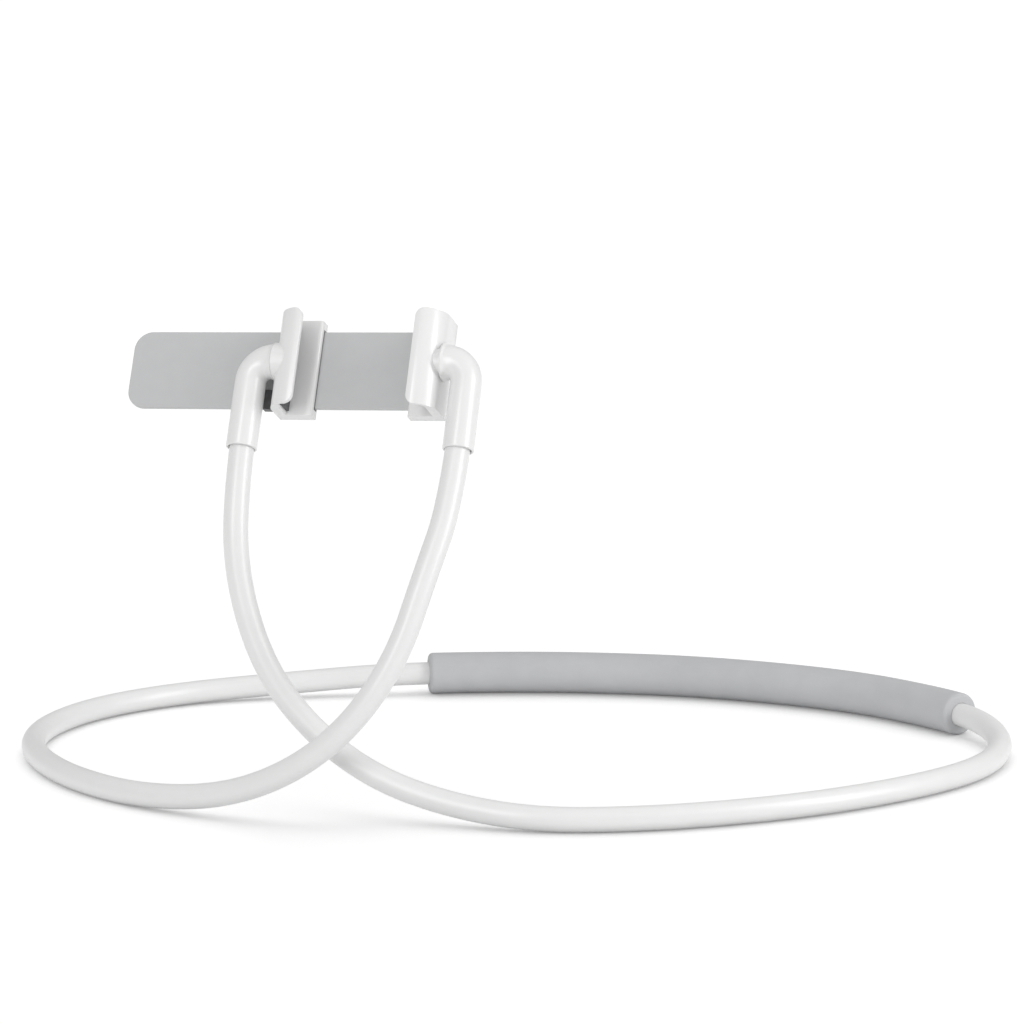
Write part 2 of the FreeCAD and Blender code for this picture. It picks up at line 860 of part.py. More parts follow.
LEFT_LEG = [
    (-48.5, -40, 102),
    (-33.5, -44.5, 62),
    (-8.5, -46.5, 33.5),
    (23, -47.5, 13.5),
    (61, -49, 3.5),
    (104, -50, 0),
]
RIGHT_LOOP = [
    (148, -34, 0),
    (187, -9.5, 0),
    (223, 20.5, 0),
    (255, 58, 0),
    (278.5, 98, 0),
    (286.5, 134, 0),
    (283.5, 164, 2),
]
FOAM_RUN = [(268.5, 189), (243, 210.5), (190, 237.5), (109, 248), (40, 238.5), (-14, 222), (-58, 202.5)]
LEFT_LOOP = [
    (-102, 183, 2),
    (-151, 152, 0),
    (-181, 111, 0),
    (-192, 67, 0),
    (-187, 27, 0),
    (-167, -8, 0),
    (-133, -41, 0),
    (-91, -62, 0),
]
RIGHT_LEG = [
    (-47, -69, 4.5),
    (-9, -73, 20.5),
    (21, -72, 46),
    (40.5, -65, 78),
    (49, -53, 112),
]
ARC_SHARE = 0.45


def on_route(point):
    x, y, lift = point
    return Vector(sizes.pivot_x + x, sizes.pivot_y + y, places.tube_radius + lift)


def stretched(points):
    """The loop's points, pulled to the width and depth that the loop is to have."""
    across = [x for x, _, _ in points]
    back = [y for _, y, _ in points]
    wider = sizes.loop_width / (max(across) - min(across))
    deeper = sizes.loop_depth / (max(back) - min(back))
    return [(wider * x, deeper * y, lift) for x, y, lift in points]


def in_leg(side, height):
    """A point on the axis of an elbow's leg."""
    return HEAD.multVec(Vector(side * places.leg_x, 0, height))


def route(end):
    """All points of the tube's route, which starts and ends at the given height in the legs."""
    foam_lift = (sizes.foam_diameter - sizes.tube_diameter) / 2
    foam = [(x, y, foam_lift) for x, y in FOAM_RUN]
    loop = stretched(RIGHT_LOOP + foam + LEFT_LOOP)
    middle = [on_route(point) for point in LEFT_LEG + loop + RIGHT_LEG]
    left = SIDES["left"]
    right = SIDES["right"]
    start = [in_leg(left, end), in_leg(left, places.lead_end)]
    finish = [in_leg(right, places.lead_end), in_leg(right, end)]
    return start + middle + finish


def bend_at(before, corner, after):
    """The tangent arc at a corner of the route, as its start, middle, end and radius."""
    back = before - corner
    ahead = after - corner
    reach = ARC_SHARE * min(back.Length, ahead.Length)
    back.normalize()
    ahead.normalize()
    half_turn = (math.pi - back.getAngle(ahead)) / 2
    radius = reach / math.tan(half_turn)
    inward = (back + ahead).normalize()
    middle = corner + inward * (radius / math.cos(half_turn) - radius)
    return corner + back * reach, middle, corner + ahead * reach, radius


def path(name, points, bends):
    """Straight runs joined by the tangent arcs given for the inner points."""
    edges = []
    here = points[0]
    for start, middle, end, _ in bends:
        edges.append(Part.LineSegment(here, start).toShape())
        edges.append(Part.Arc(start, middle, end).toShape())
        here = end
    edges.append(Part.LineSegment(here, points[-1]).toShape())
    item = doc.addObject("Part::Feature", name)
    item.Shape = Part.Wire(edges)
    return item


def swept(name, spine, radius):
    """A round bar along a path."""
    first = spine.Shape.Edges[0]
    start = first.valueAt(first.FirstParameter)
    heading = first.tangentAt(first.FirstParameter)
    section = ring(f"{name}_section", radius, Placement(start, Rotation(Vector(0, 0, 1), heading)))
    item = doc.addObject("Part::Sweep", name)
    item.Sections = [section]
    item.Spine = (spine, [f"Edge{number + 1}" for number in range(len(spine.Shape.Edges))])
    item.Solid = True
    return item


def neck():
    points = route(places.tube_end)
    bends = [bend_at(*points[index - 1:index + 2]) for index in range(1, len(points) - 1)]
    tube_path = path("tube_path", points, bends)
    core_points = route(places.core_end)
    core_path = path("core_path", core_points, bends)

    core_room = "sizes.core_diameter / 2 + sizes.core_gap"
    outside = swept("tube_outside", tube_path, "places.tube_radius")
    sheath = cut("tube_cut", outside, swept("tube_bore", core_path, core_room))
    seat(sheath, "neck_tube", Placement())
    seat(swept("core_sweep", core_path, "sizes.core_diameter / 2"), "core_wire", Placement())

    first = len(LEFT_LEG) + len(RIGHT_LOOP) + 2
    last = first + len(FOAM_RUN) - 1
    foam_points = points[first:last + 1]
    foam_start = (foam_points[0] + foam_points[1]) / 2
    foam_bends = bends[first:last - 1]
    # past its last turn the sleeve runs on at least as far as its end is rounded
    last_turn = foam_bends[-1][2]
    half_run = (foam_points[-2] + foam_points[-1]) / 2 - last_turn
    run_out = max(half_run.Length, sizes.foam_rounding + EDGE_SLACK)
    foam_end = last_turn + half_run.normalize() * run_out
    foam_path = path("foam_path", [foam_start, foam_end], foam_bends)
    roll = swept("foam_roll", foam_path, "sizes.foam_diameter / 2")
    hole = swept("foam_hole", tube_path, "places.tube_radius + sizes.socket_gap")
    sleeve = cut("foam_cut", roll, hole)

    def end_rim(p):
        ends = (foam_start, foam_end)
        return any(near(p.distanceToPoint(end), sizes.foam_diameter / 2) for end in ends)

    seat(rounded("foam_rims", sleeve, sizes.foam_rounding, end_rim), "neck_foam", Placement())

    length = tube_path.Shape.Length
    section = math.pi * (places.tube_radius ** 2 - (sizes.core_diameter / 2 + sizes.core_gap) ** 2)
    doc.recompute()
    print("tube bend radii", [round(bend[3]) for bend in bends])
    print("tube length", round(length), "foam length", round(foam_path.Shape.Length))
    print("tube volume share", round(sheath.Shape.Volume / (section * length), 4))


for word, side in SIDES.items():
    jaw(word, side)
    pad(word, side)
    rear_cover(word, side)
    cover_screws(word, side)
    swivel(word, side)
    elbow(word, side)
    tube_anchor(word, side)
back_plate()
plate_screws()
guide_liner()
leaf_spring()
stop_screw()
neck()
doc.recompute()

# Every object and every piece has to be sound before anything is written

failed = [item.Name for item in doc.Objects if {"Invalid", "Error"} & set(item.State)]
for item in parts:
    if item.Shape.isNull() or not item.Shape.isValid() or not item.Shape.Solids:
        failed.append(item.Label)
if failed:
    raise RuntimeError("these did not build: " + ", ".join(failed))

os.makedirs("parts", exist_ok=True)
whole = FreeCAD.BoundBox()
for item in parts:
    whole.add(item.Shape.BoundBox)
    item.Shape.exportStep(f"parts/{item.Label}.step")
print("pieces", len(parts))
print("overall size", [round(size, 1) for size in (whole.XLength, whole.YLength, whole.ZLength)])
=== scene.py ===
import bpy
import json
import math
from mathutils import Matrix, Vector


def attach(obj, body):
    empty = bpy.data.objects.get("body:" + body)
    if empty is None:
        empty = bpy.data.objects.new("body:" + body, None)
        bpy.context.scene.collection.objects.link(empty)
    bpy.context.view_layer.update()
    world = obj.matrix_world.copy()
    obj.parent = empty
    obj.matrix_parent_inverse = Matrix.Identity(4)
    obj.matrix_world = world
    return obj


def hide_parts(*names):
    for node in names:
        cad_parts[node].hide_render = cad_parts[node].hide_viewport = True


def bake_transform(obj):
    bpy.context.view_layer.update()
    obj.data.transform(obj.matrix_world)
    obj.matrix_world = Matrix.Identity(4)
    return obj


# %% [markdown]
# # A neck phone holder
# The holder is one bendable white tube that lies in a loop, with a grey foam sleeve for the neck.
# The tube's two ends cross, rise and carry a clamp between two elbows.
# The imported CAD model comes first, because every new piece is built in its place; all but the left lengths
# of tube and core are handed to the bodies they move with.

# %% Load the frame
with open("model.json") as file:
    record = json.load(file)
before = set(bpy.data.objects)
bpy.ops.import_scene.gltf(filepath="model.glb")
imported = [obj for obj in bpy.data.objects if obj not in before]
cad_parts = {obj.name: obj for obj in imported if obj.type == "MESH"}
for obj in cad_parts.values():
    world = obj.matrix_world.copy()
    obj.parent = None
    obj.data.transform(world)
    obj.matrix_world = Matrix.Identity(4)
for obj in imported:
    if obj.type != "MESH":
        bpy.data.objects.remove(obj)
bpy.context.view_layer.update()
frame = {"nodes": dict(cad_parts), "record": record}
nodes = frame["nodes"]
scene = bpy.context.scene

# %% [markdown]
# ## Camera
# The photograph was taken with a long lens from the front right, a little above the clamp.
# A camera could be aimed with a constraint, but a plain direction keeps it the same on every run.

# %% Camera
PHOTO_SPOT = Vector((0.57367, -1.87313, 0.481))
PHOTO_LOOK = Vector((-0.2877, 0.9409, -0.1788))
SENSOR_WIDTH = 36
LENS = 140.625
FAR_LIMIT = 100

bpy.ops.object.select_all(action="DESELECT")
bpy.ops.object.camera_add(location=PHOTO_SPOT)
camera = bpy.context.object
camera.name = "photo_camera"
camera.rotation_mode = "QUATERNION"
camera.rotation_quaternion = PHOTO_LOOK.to_track_quat("-Z", "Y")
camera.data.sensor_width = SENSOR_WIDTH
camera.data.lens = LENS
camera.data.clip_end = FAR_LIMIT
scene.camera = camera
print("camera lens", camera.data.lens)

# %% [markdown]
# ## Floor
# The photograph has a white sweep with faint shadows right under the loop.
# A large plane does for it, with no horizon in view. A little glow, which only the camera and mirrored
# rays see, keeps the paper white without lighting the part a second time.

# %% Floor
FLOOR_SIZE = 60
FLOOR_COLOUR = (0.9, 0.9, 0.9, 1)
FLOOR_ROUGHNESS = 0.9
FLOOR_LIFT = 0.2

bpy.ops.object.select_all(action="DESELECT")
bpy.ops.mesh.primitive_plane_add(size=FLOOR_SIZE)
floor = bpy.context.object
floor.name = "studio_floor"
paper = bpy.data.materials.new("white_sweep")
paper.use_nodes = True
paper_shader = paper.node_tree.nodes["Principled BSDF"]
paper_shader.inputs["Base Color"].default_value = FLOOR_COLOUR
paper_shader.inputs["Roughness"].default_value = FLOOR_ROUGHNESS
paper_shader.inputs["Specular IOR Level"].default_value = 0
paper_shader.inputs["Emission Color"].default_value = (1, 1, 1, 1)
seen = paper.node_tree.nodes.new("ShaderNodeLightPath")
either = paper.node_tree.nodes.new("ShaderNodeMath")
either.operation = "MAXIMUM"
paper.node_tree.links.new(seen.outputs["Is Camera Ray"], either.inputs[0])
paper.node_tree.links.new(seen.outputs["Is Glossy Ray"], either.inputs[1])
lift = paper.node_tree.nodes.new("ShaderNodeMath")
lift.operation = "MULTIPLY"
lift.inputs[1].default_value = FLOOR_LIFT
paper.node_tree.links.new(either.outputs["Value"], lift.inputs[0])
paper.node_tree.links.new(lift.outputs["Value"], paper_shader.inputs["Emission Strength"])
floor.data.materials.append(paper)
print("floor", floor.name, FLOOR_SIZE)

# %% [markdown]
# ## Light
# Two soft bands of light run along every round piece, so two upright softboxes stand left of the camera
# and far to its right. They leave out the floor, where each would draw a bright patch.
# A weak wide sun from overhead lights everything, a stronger one lights the floor alone and draws the
# shadows under the loop, and the white world fills the shade.

# %% Light
TARGET = (0, 0, 0.12)
NEAR_BOX_SPOT = (-0.5, -2.2, 1.15)
NEAR_BOX_SIZE = (0.5, 1.7)
NEAR_BOX_POWER = 14
SIDE_BOX_SPOT = (2.1, -0.35, 1.05)
SIDE_BOX_SIZE = (0.55, 1.7)
SIDE_BOX_POWER = 20
OVERHEAD_SPOT = (0.3, 0.2, 3)
OVERHEAD_STRENGTH = 0.3
OVERHEAD_SPREAD = math.radians(80)
FLOOR_LIGHT_SPOT = (-0.4, 1.0, 3)
FLOOR_LIGHT_STRENGTH = 0.88
FLOOR_LIGHT_SPREAD = math.radians(75)
WORLD_STRENGTH = 0.58


def light_from(kind, name, spot):
    """Puts a light at a spot and points it at the part."""
    bpy.ops.object.light_add(type=kind)
    light = bpy.context.object
    light.name = name
    light.location = spot
    light.rotation_mode = "QUATERNION"
    light.rotation_quaternion = (Vector(TARGET) - Vector(spot)).to_track_quat("-Z", "Y")
    return light


def softbox(name, spot, size, power):
    light = light_from("AREA", name, spot)
    light.data.shape = "RECTANGLE"
    light.data.size = size[0]
    light.data.size_y = size[1]
    light.data.energy = power
    return light


def soft_sun(name, spot, strength, spread):
    light = light_from("SUN", name, spot)
    light.data.energy = strength
    light.data.angle = spread
    return light


near_box = softbox("softbox_left_of_camera", NEAR_BOX_SPOT, NEAR_BOX_SIZE, NEAR_BOX_POWER)
side_box = softbox("softbox_right", SIDE_BOX_SPOT, SIDE_BOX_SIZE, SIDE_BOX_POWER)
off_floor = bpy.data.collections.new("softboxes_leave_out")
off_floor.objects.link(floor)
off_floor.collection_objects[0].light_linking.link_state = "EXCLUDE"
for box in (near_box, side_box):
    box.light_linking.receiver_collection = off_floor

overhead = soft_sun("overhead_light", OVERHEAD_SPOT, OVERHEAD_STRENGTH, OVERHEAD_SPREAD)
floor_light = soft_sun("floor_light", FLOOR_LIGHT_SPOT, FLOOR_LIGHT_STRENGTH, FLOOR_LIGHT_SPREAD)
on_floor = bpy.data.collections.new("floor_light_reaches")
on_floor.objects.link(floor)
floor_light.light_linking.receiver_collection = on_floor

studio = bpy.data.worlds.new("studio")
studio.use_nodes = True
scene.world = studio
studio_light = studio.node_tree.nodes["Background"]
studio_light.inputs["Color"].default_value = (1, 1, 1, 1)
studio_light.inputs["Strength"].default_value = WORLD_STRENGTH
scene.view_settings.view_transform = "Standard"
print("lights", near_box.name, side_box.name, overhead.name, floor_light.name)

# %% [markdown]
# ## Shared effects
# Several finishes need the same small things: a fine moulding grain, soft handling marks, settled dust.
# Each could be built again in every material, but a node group with named sockets is built once, and a
# material only sets its own values. The groups put out values alone; every shader stays in its own material.


# %% Tools for node groups
def effect(name, inputs, outputs):
    """An empty shader node group with its sockets and its two end nodes."""
    group = bpy.data.node_groups.new(name, "ShaderNodeTree")
    for label, kind, default in inputs:
        socket = group.interface.new_socket(label, in_out="INPUT", socket_type=kind)
        socket.default_value = default
    for label, kind in outputs:
        group.interface.new_socket(label, in_out="OUTPUT", socket_type=kind)
    return group, group.nodes.new("NodeGroupInput"), group.nodes.new("NodeGroupOutput")


def mathed(tree, operation, first, second):
    """A math node whose inputs are numbers or sockets."""
    node = tree.nodes.new("ShaderNodeMath")
    node.operation = operation
    for socket, value in zip(node.inputs, (first, second)):
        if isinstance(value, (int, float)):
            socket.default_value = value
        else:
            tree.links.new(value, socket)
    return node.outputs["Value"]


def ranged(tree, value, span):
    """Maps a span of values smoothly to 0 to 1."""
    node = tree.nodes.new("ShaderNodeMapRange")
    node.interpolation_type = "SMOOTHSTEP"
    node.inputs["From Min"].default_value = span[0]
    node.inputs["From Max"].default_value = span[1]
    tree.links.new(value, node.inputs["Value"])
    return node.outputs["Result"]


def noise(tree, place, scale, detail):
    node = tree.nodes.new("ShaderNodeTexNoise")
    tree.links.new(place, node.inputs["Vector"])
    if isinstance(scale, (int, float)):
        node.inputs["Scale"].default_value = scale
    else:
        tree.links.new(scale, node.inputs["Scale"])
    node.inputs["Detail"].default_value = detail
    return node.outputs["Fac"]


# %% [markdown]
# ## Moulding grain
# Moulded plastic, silicone and foam all have a fine grain, and their colour is a little cloudy.
# One noise at the grain's own scale gives the height, and a much broader one gives the clouds.

# %% Moulding grain
PORE_DETAIL = 4
CLOUD_SHARE = 0.05
CLOUD_DETAIL = 3
CLOUD_SPAN = (0.3, 0.7)

grain_group, grain_in, grain_out = effect(
    "moulding_grain",
    [("Place", "NodeSocketVector", (0, 0, 0)), ("Scale", "NodeSocketFloat", 900.0)],
    [("Height", "NodeSocketFloat"), ("Mottle", "NodeSocketFloat")],
)
pores = noise(grain_group, grain_in.outputs["Place"], grain_in.outputs["Scale"], PORE_DETAIL)
grain_group.links.new(pores, grain_out.inputs["Height"])
cloud_scale = mathed(grain_group, "MULTIPLY", grain_in.outputs["Scale"], CLOUD_SHARE)
cloud = noise(grain_group, grain_in.outputs["Place"], cloud_scale, CLOUD_DETAIL)
grain_group.links.new(ranged(grain_group, cloud, CLOUD_SPAN), grain_out.inputs["Mottle"])
print("effect", grain_group.name)

# %% [markdown]
# ## Handling marks
# Hands leave duller patches where they take hold of the part.
# A painted mask would do, but a broad noise with its middle cut out needs no picture and fits every piece.

# %% Handling marks
SMEAR_DETAIL = 5
SMEAR_SPAN = (0.45, 0.75)

marks_group, marks_in, marks_out = effect(
    "handling_marks",
    [
        ("Place", "NodeSocketVector", (0, 0, 0)),
        ("Scale", "NodeSocketFloat", 30.0),
        ("Amount", "NodeSocketFloat", 0.5),
    ],
    [("Mask", "NodeSocketFloat")],
)
smear = noise(marks_group, marks_in.outputs["Place"], marks_in.outputs["Scale"], SMEAR_DETAIL)
smear_mask = ranged(marks_group, smear, SMEAR_SPAN)
smear_share = mathed(marks_group, "MULTIPLY", smear_mask, marks_in.outputs["Amount"])
marks_group.links.new(smear_share, marks_out.inputs["Mask"])
print("effect", marks_group.name)

# %% [markdown]
# ## Settled dust
# A little dust lies on what faces up. The surface's normal tells how far it faces up, and fine specks
# break the layer, so that it never looks like paint.

# %% Settled dust
UPWARD_SPAN = (0.3, 1)
SPECK_SCALE = 420
SPECK_DETAIL = 3
SPECK_SPAN = (0.5, 0.75)

dust_group, dust_in, dust_out = effect(
    "settled_dust",
    [
        ("Place", "NodeSocketVector", (0, 0, 0)),
        ("Facing", "NodeSocketVector", (0, 0, 1)),
        ("Amount", "NodeSocketFloat", 0.3),
    ],
    [("Mask", "NodeSocketFloat")],
)
facing_parts = dust_group.nodes.new("ShaderNodeSeparateXYZ")
dust_group.links.new(dust_in.outputs["Facing"], facing_parts.inputs["Vector"])
upward = ranged(dust_group, facing_parts.outputs["Z"], UPWARD_SPAN)
specks = noise(dust_group, dust_in.outputs["Place"], SPECK_SCALE, SPECK_DETAIL)
speckled = mathed(dust_group, "MULTIPLY", upward, ranged(dust_group, specks, SPECK_SPAN))
settled = mathed(dust_group, "MULTIPLY", speckled, dust_in.outputs["Amount"])
dust_group.links.new(settled, dust_out.inputs["Mask"])
print("effect", dust_group.name)

# %% [markdown]
# ## Finishes
# Every finish starts from the same bench: a Principled shader, Object coordinates, and the groups plugged in.
# Base colour varies a little with the grain and the dust, and roughness with the marks.
# The grain also feeds the bump.


# %% Material bench
MARKS_SCALE = 28
BUMP_STRENGTH = 0.4
DUST_COLOUR = (0.62, 0.6, 0.57)


def place_group(tree, group, **values):
    node = tree.nodes.new("ShaderNodeGroup")
    node.node_tree = group
    for label, value in values.items():
        socket = node.inputs[label]
        if isinstance(value, (int, float)):
            socket.default_value = value
        else:
            tree.links.new(value, socket)
    return node


def mixed(tree, factor, first, second):
    """A colour between two colours, or sockets, by a varying factor."""
    node = tree.nodes.new("ShaderNodeMix")
    node.data_type = "RGBA"
    tree.links.new(factor, node.inputs["Factor"])
    for label, colour in (("A", first), ("B", second)):
        socket = [s for s in node.inputs if s.name == label and s.type == "RGBA"][0]
        if isinstance(colour, tuple):
            socket.default_value = (*colour, 1)
        else:
            tree.links.new(colour, socket)
    return [s for s in node.outputs if s.type == "RGBA"][0]


def bump(tree, height, distance):
    node = tree.nodes.new("ShaderNodeBump")
    node.inputs["Distance"].default_value = distance
    node.inputs["Strength"].default_value = BUMP_STRENGTH
    tree.links.new(height, node.inputs["Height"])
    return node.outputs["Normal"]


def finish(name, light, dark, rough, grain, relief, marks=0.5, dust=0.05, **sockets):
    """A moulded or drawn surface: two close colours, a roughness range, grain and bump."""
    material = bpy.data.materials.new(name)
    material.use_nodes = True
    tree = material.node_tree
    shader = tree.nodes["Principled BSDF"]
    place = tree.nodes.new("ShaderNodeTexCoord")
    skin = place_group(tree, grain_group, Place=place.outputs["Object"], Scale=grain)
    smudge = place_group(tree, marks_group, Place=place.outputs["Object"], Scale=MARKS_SCALE, Amount=marks)
    film = place_group(
        tree, dust_group, Place=place.outputs["Object"], Facing=place.outputs["Normal"], Amount=dust
    )
    body = mixed(tree, skin.outputs["Mottle"], light, dark)
    dusty = mixed(tree, film.outputs["Mask"], body, DUST_COLOUR)
    tree.links.new(dusty, shader.inputs["Base Color"])
    span = rough[1] - rough[0]
    rubbed = mathed(tree, "MULTIPLY", smudge.outputs["Mask"], span)
    tree.links.new(mathed(tree, "ADD", rubbed, rough[0]), shader.inputs["Roughness"])
    tree.links.new(bump(tree, skin.outputs["Height"], relief), shader.inputs["Normal"])
    for label, value in sockets.items():
        shader.inputs[label.replace("_", " ")].default_value = value
    return material


# %% [markdown]
# ## The eight finishes
# The clamp is glossy white moulding, the tube satin silicone, the sleeve dull foam, and the plate
# a satin grey.
# The pads, the liner and the metal pieces are darker or mirror more, and differ only in their values.

# %% Finishes
white_plastic = finish(
    "white_plastic",
    light=(0.8, 0.8, 0.797),
    dark=(0.795, 0.795, 0.792),
    rough=(0.3, 0.34),
    grain=1500,
    relief=0.00001,
    Specular_IOR_Level=0.9,
)
white_silicone = finish(
    "white_silicone",
    light=(0.79, 0.79, 0.787),
    dark=(0.78, 0.78, 0.777),
    rough=(0.36, 0.4),
    grain=2400,
    relief=0.00002,
    Specular_IOR_Level=0.9,
)
grey_foam = finish(
    "grey_foam",
    light=(0.52, 0.525, 0.535),
    dark=(0.5, 0.505, 0.515),
    rough=(0.75, 0.9),
    grain=1700,
    relief=0.0002,
)
grey_plate = finish(
    "grey_plate",
    light=(0.53, 0.535, 0.54),
    dark=(0.52, 0.525, 0.53),
    rough=(0.42, 0.5),
    grain=3000,
    relief=0.00003,
)
dark_pad = finish(
    "dark_pad",
    light=(0.1, 0.1, 0.105),
    dark=(0.085, 0.085, 0.09),
    rough=(0.6, 0.75),
    grain=2200,
    relief=0.00006,
)
dark_liner = finish(
    "dark_liner",
    light=(0.13, 0.13, 0.135),
    dark=(0.115, 0.115, 0.12),
    rough=(0.45, 0.55),
    grain=2600,
    relief=0.00003,
)
steel = finish(
    "steel",
    light=(0.62, 0.62, 0.63),
    dark=(0.56, 0.56, 0.57),
    rough=(0.22, 0.34),
    grain=1800,
    relief=0.00002,
    Metallic=1,
)
core_aluminium = finish(
    "core_aluminium",
    light=(0.8, 0.8, 0.81),
    dark=(0.74, 0.74, 0.75),
    rough=(0.3, 0.42),
    grain=1600,
    relief=0.00002,
    Metallic=1,
)

FINISHES = {
    "white_plastic": white_plastic,
    "white_silicone": white_silicone,
    "grey_foam": grey_foam,
    "grey_plate": grey_plate,
    "dark_pad": dark_pad,
    "dark_liner": dark_liner,
    "steel": steel,
    "core_aluminium": core_aluminium,
}
print("finishes", sorted(FINISHES))

# %% [markdown]
# ## Finishes on the CAD nodes
# The plate, the liner, the rear covers, the screws and the washers are shown as the CAD model has them.
# Each could be dressed by hand, but the record says which slot a node takes, so one loop does it.

# %% Dress the nodes
for subpart in frame["record"]["subparts"]:
    node = nodes[subpart["node"]]
    node.data.materials.clear()
    node.data.materials.append(FINISHES[subpart["material_slot"]])

# %% [markdown]
# ## The clamp's own frame
# The clamp leans back and is rolled a little, so its pieces are drawn upright and then set in place.
# The numbers are the same as in the part's source, in metres, and one matrix does the setting.

# %% Clamp frame
PIVOT = Vector((-0.04753, -0.08913, 0.2104))
LEAN = math.radians(29)
ROLL = math.radians(2.2)
CLAMP = Matrix.Translation(PIVOT) @ Matrix.Rotation(-ROLL, 4, "Y") @ Matrix.Rotation(-LEAN, 4, "X")
LEG_X = 0.0543
COLLAR = -0.0442
TUBE_END = -0.0222
CORE_END = -0.0142
LEAD_END = -0.0692
print("swivel axis", [round(v, 4) for v in CLAMP.col[0][:3]])

# %% [markdown]
# ## The tube and its core
# The tube is a silicone sheath over an aluminium wire, bent by hand into a loop.
# It could be swept along arcs, but a NURBS line through the route's points bends as smoothly as the real one.
# It is made in two lengths that meet inside the foam sleeve.

# %% Tube route
TUBE_RADIUS = 0.006
CORE_RADIUS = 0.0025
CORE_GAP = 0.00015
FOAM_LIFT = 0.005
LEFT_LEG = [
    (-0.0485, -0.04, 0.102),
    (-0.0335, -0.0445, 0.062),
    (-0.0085, -0.0465, 0.0335),
    (0.023, -0.0475, 0.0135),
    (0.061, -0.049, 0.0035),
    (0.104, -0.05, 0),
]
RIGHT_LOOP = [
    (0.148, -0.034, 0),
    (0.187, -0.0095, 0),
    (0.223, 0.0205, 0),
    (0.255, 0.058, 0),
    (0.2785, 0.098, 0),
    (0.2865, 0.134, 0),
    (0.2835, 0.164, 0.002),
]
FOAM_RUN = [
    (0.2685, 0.189, FOAM_LIFT),
    (0.243, 0.2105, FOAM_LIFT),
    (0.19, 0.2375, FOAM_LIFT),
    (0.109, 0.248, FOAM_LIFT),
    (0.04, 0.2385, FOAM_LIFT),
    (-0.014, 0.222, FOAM_LIFT),
    (-0.058, 0.2025, FOAM_LIFT),
]
LEFT_LOOP = [
    (-0.102, 0.183, 0.002),
    (-0.151, 0.152, 0),
    (-0.181, 0.111, 0),
    (-0.192, 0.067, 0),
    (-0.187, 0.027, 0),
    (-0.167, -0.008, 0),
    (-0.133, -0.041, 0),
    (-0.091, -0.062, 0),
]
RIGHT_LEG = [
    (-0.047, -0.069, 0.0045),
    (-0.009, -0.073, 0.0205),
    (0.021, -0.072, 0.046),
    (0.0405, -0.065, 0.078),
    (0.049, -0.053, 0.112),
]
MEETING = (0.0745, 0.24325, FOAM_LIFT)
FOAM_BEFORE_MEETING = 4
LINE_STEPS = 14


def on_route(point):
    x, y, lift = point
    return Vector((PIVOT.x + x, PIVOT.y + y, TUBE_RADIUS + lift))


def in_leg(side, height):
    """A point on the axis of an elbow's leg; side is -1 on the left and 1 on the right."""
    return CLAMP @ Vector((side * LEG_X, 0, height))


def route_line(name, points):
    """A smooth open line with the route's points as its control points."""
    line = bpy.data.curves.new(name, "CURVE")
    line.dimensions = "3D"
    line.resolution_u = LINE_STEPS
    spline = line.splines.new("NURBS")
    spline.points.add(len(points) - 1)
    for control, point in zip(spline.points, points):
        control.co = (*point, 1)
    spline.order_u = 3
    spline.use_endpoint_u = True
    piece = bpy.data.objects.new(name, line)
    scene.collection.objects.link(piece)
    return piece


def only(piece):
    """Makes a piece the only selected and active one."""
    bpy.ops.object.select_all(action="DESELECT")
    piece.select_set(True)
    bpy.context.view_layer.objects.active = piece


left_run = LEFT_LEG + RIGHT_LOOP + FOAM_RUN[:FOAM_BEFORE_MEETING] + [MEETING]
right_run = [MEETING] + FOAM_RUN[FOAM_BEFORE_MEETING:] + LEFT_LOOP + RIGHT_LEG
left_points = [on_route(p) for p in left_run]
right_points = [on_route(p) for p in right_run]


def half_route(side, end):
    """The points of one length of the tube, from its elbow or to it."""
    if side < 0:
        return [in_leg(side, end), in_leg(side, LEAD_END)] + left_points
    return right_points + [in_leg(side, LEAD_END), in_leg(side, end)]


print("route points", len(left_points), len(right_points))

# %% [markdown]
# ## The tube's two lengths
# A line with a round bevel gives the bar, and a wall turned inwards makes the sheath hollow for the core.
# The right length is handed to the neck, and the left one is baked in place with no body.

# %% Tube and core lengths
ROUND_STEPS = 14
ROLL_SMOOTH = math.radians(40)


def bar(name, points, radius, finish_material, wall=0.0):
    """A round bar along a line, hollowed to a wall where one is given."""
    piece = route_line(name, points)
    piece.data.bevel_depth = radius
    piece.data.bevel_resolution = ROUND_STEPS
    piece.data.use_fill_caps = wall == 0
    only(piece)
    bpy.ops.object.convert(target="MESH")
    piece = bpy.context.object
    if wall:
        shell = piece.modifiers.new("sheath_wall", "SOLIDIFY")
        shell.thickness = wall
        shell.offset = -1
        bpy.ops.object.modifier_apply(modifier=shell.name)
    bpy.ops.object.shade_smooth_by_angle(angle=ROLL_SMOOTH)
    piece.data.materials.clear()
    piece.data.materials.append(finish_material)
    return piece


WALL = TUBE_RADIUS - CORE_RADIUS - CORE_GAP
for word, side in (("left", -1), ("right", 1)):
    sheath = bar(f"{word}_tube", half_route(side, TUBE_END), TUBE_RADIUS, white_silicone, WALL)
    wire = bar(f"{word}_core", half_route(side, CORE_END), CORE_RADIUS, core_aluminium)
    for piece, node, slot in (
        (sheath, "neck_tube", "white_silicone"),
        (wire, "core_wire", "core_aluminium"),
    ):
        if side < 0:
            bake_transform(piece)
        else:
            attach(piece, "neck")
        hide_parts(node)
        print(piece.name, "faces", len(piece.data.polygons))

# %% [markdown]
# ## The foam sleeve
# The sleeve is a length of closed-cell foam tube, pushed over the silicone where it lies on the neck.
# A second bevelled line would leave its ends sharp and its middle solid. So it is modelled straight, as it
# is cut from stock, with a hole and rounded rims, and is then bent along the route.

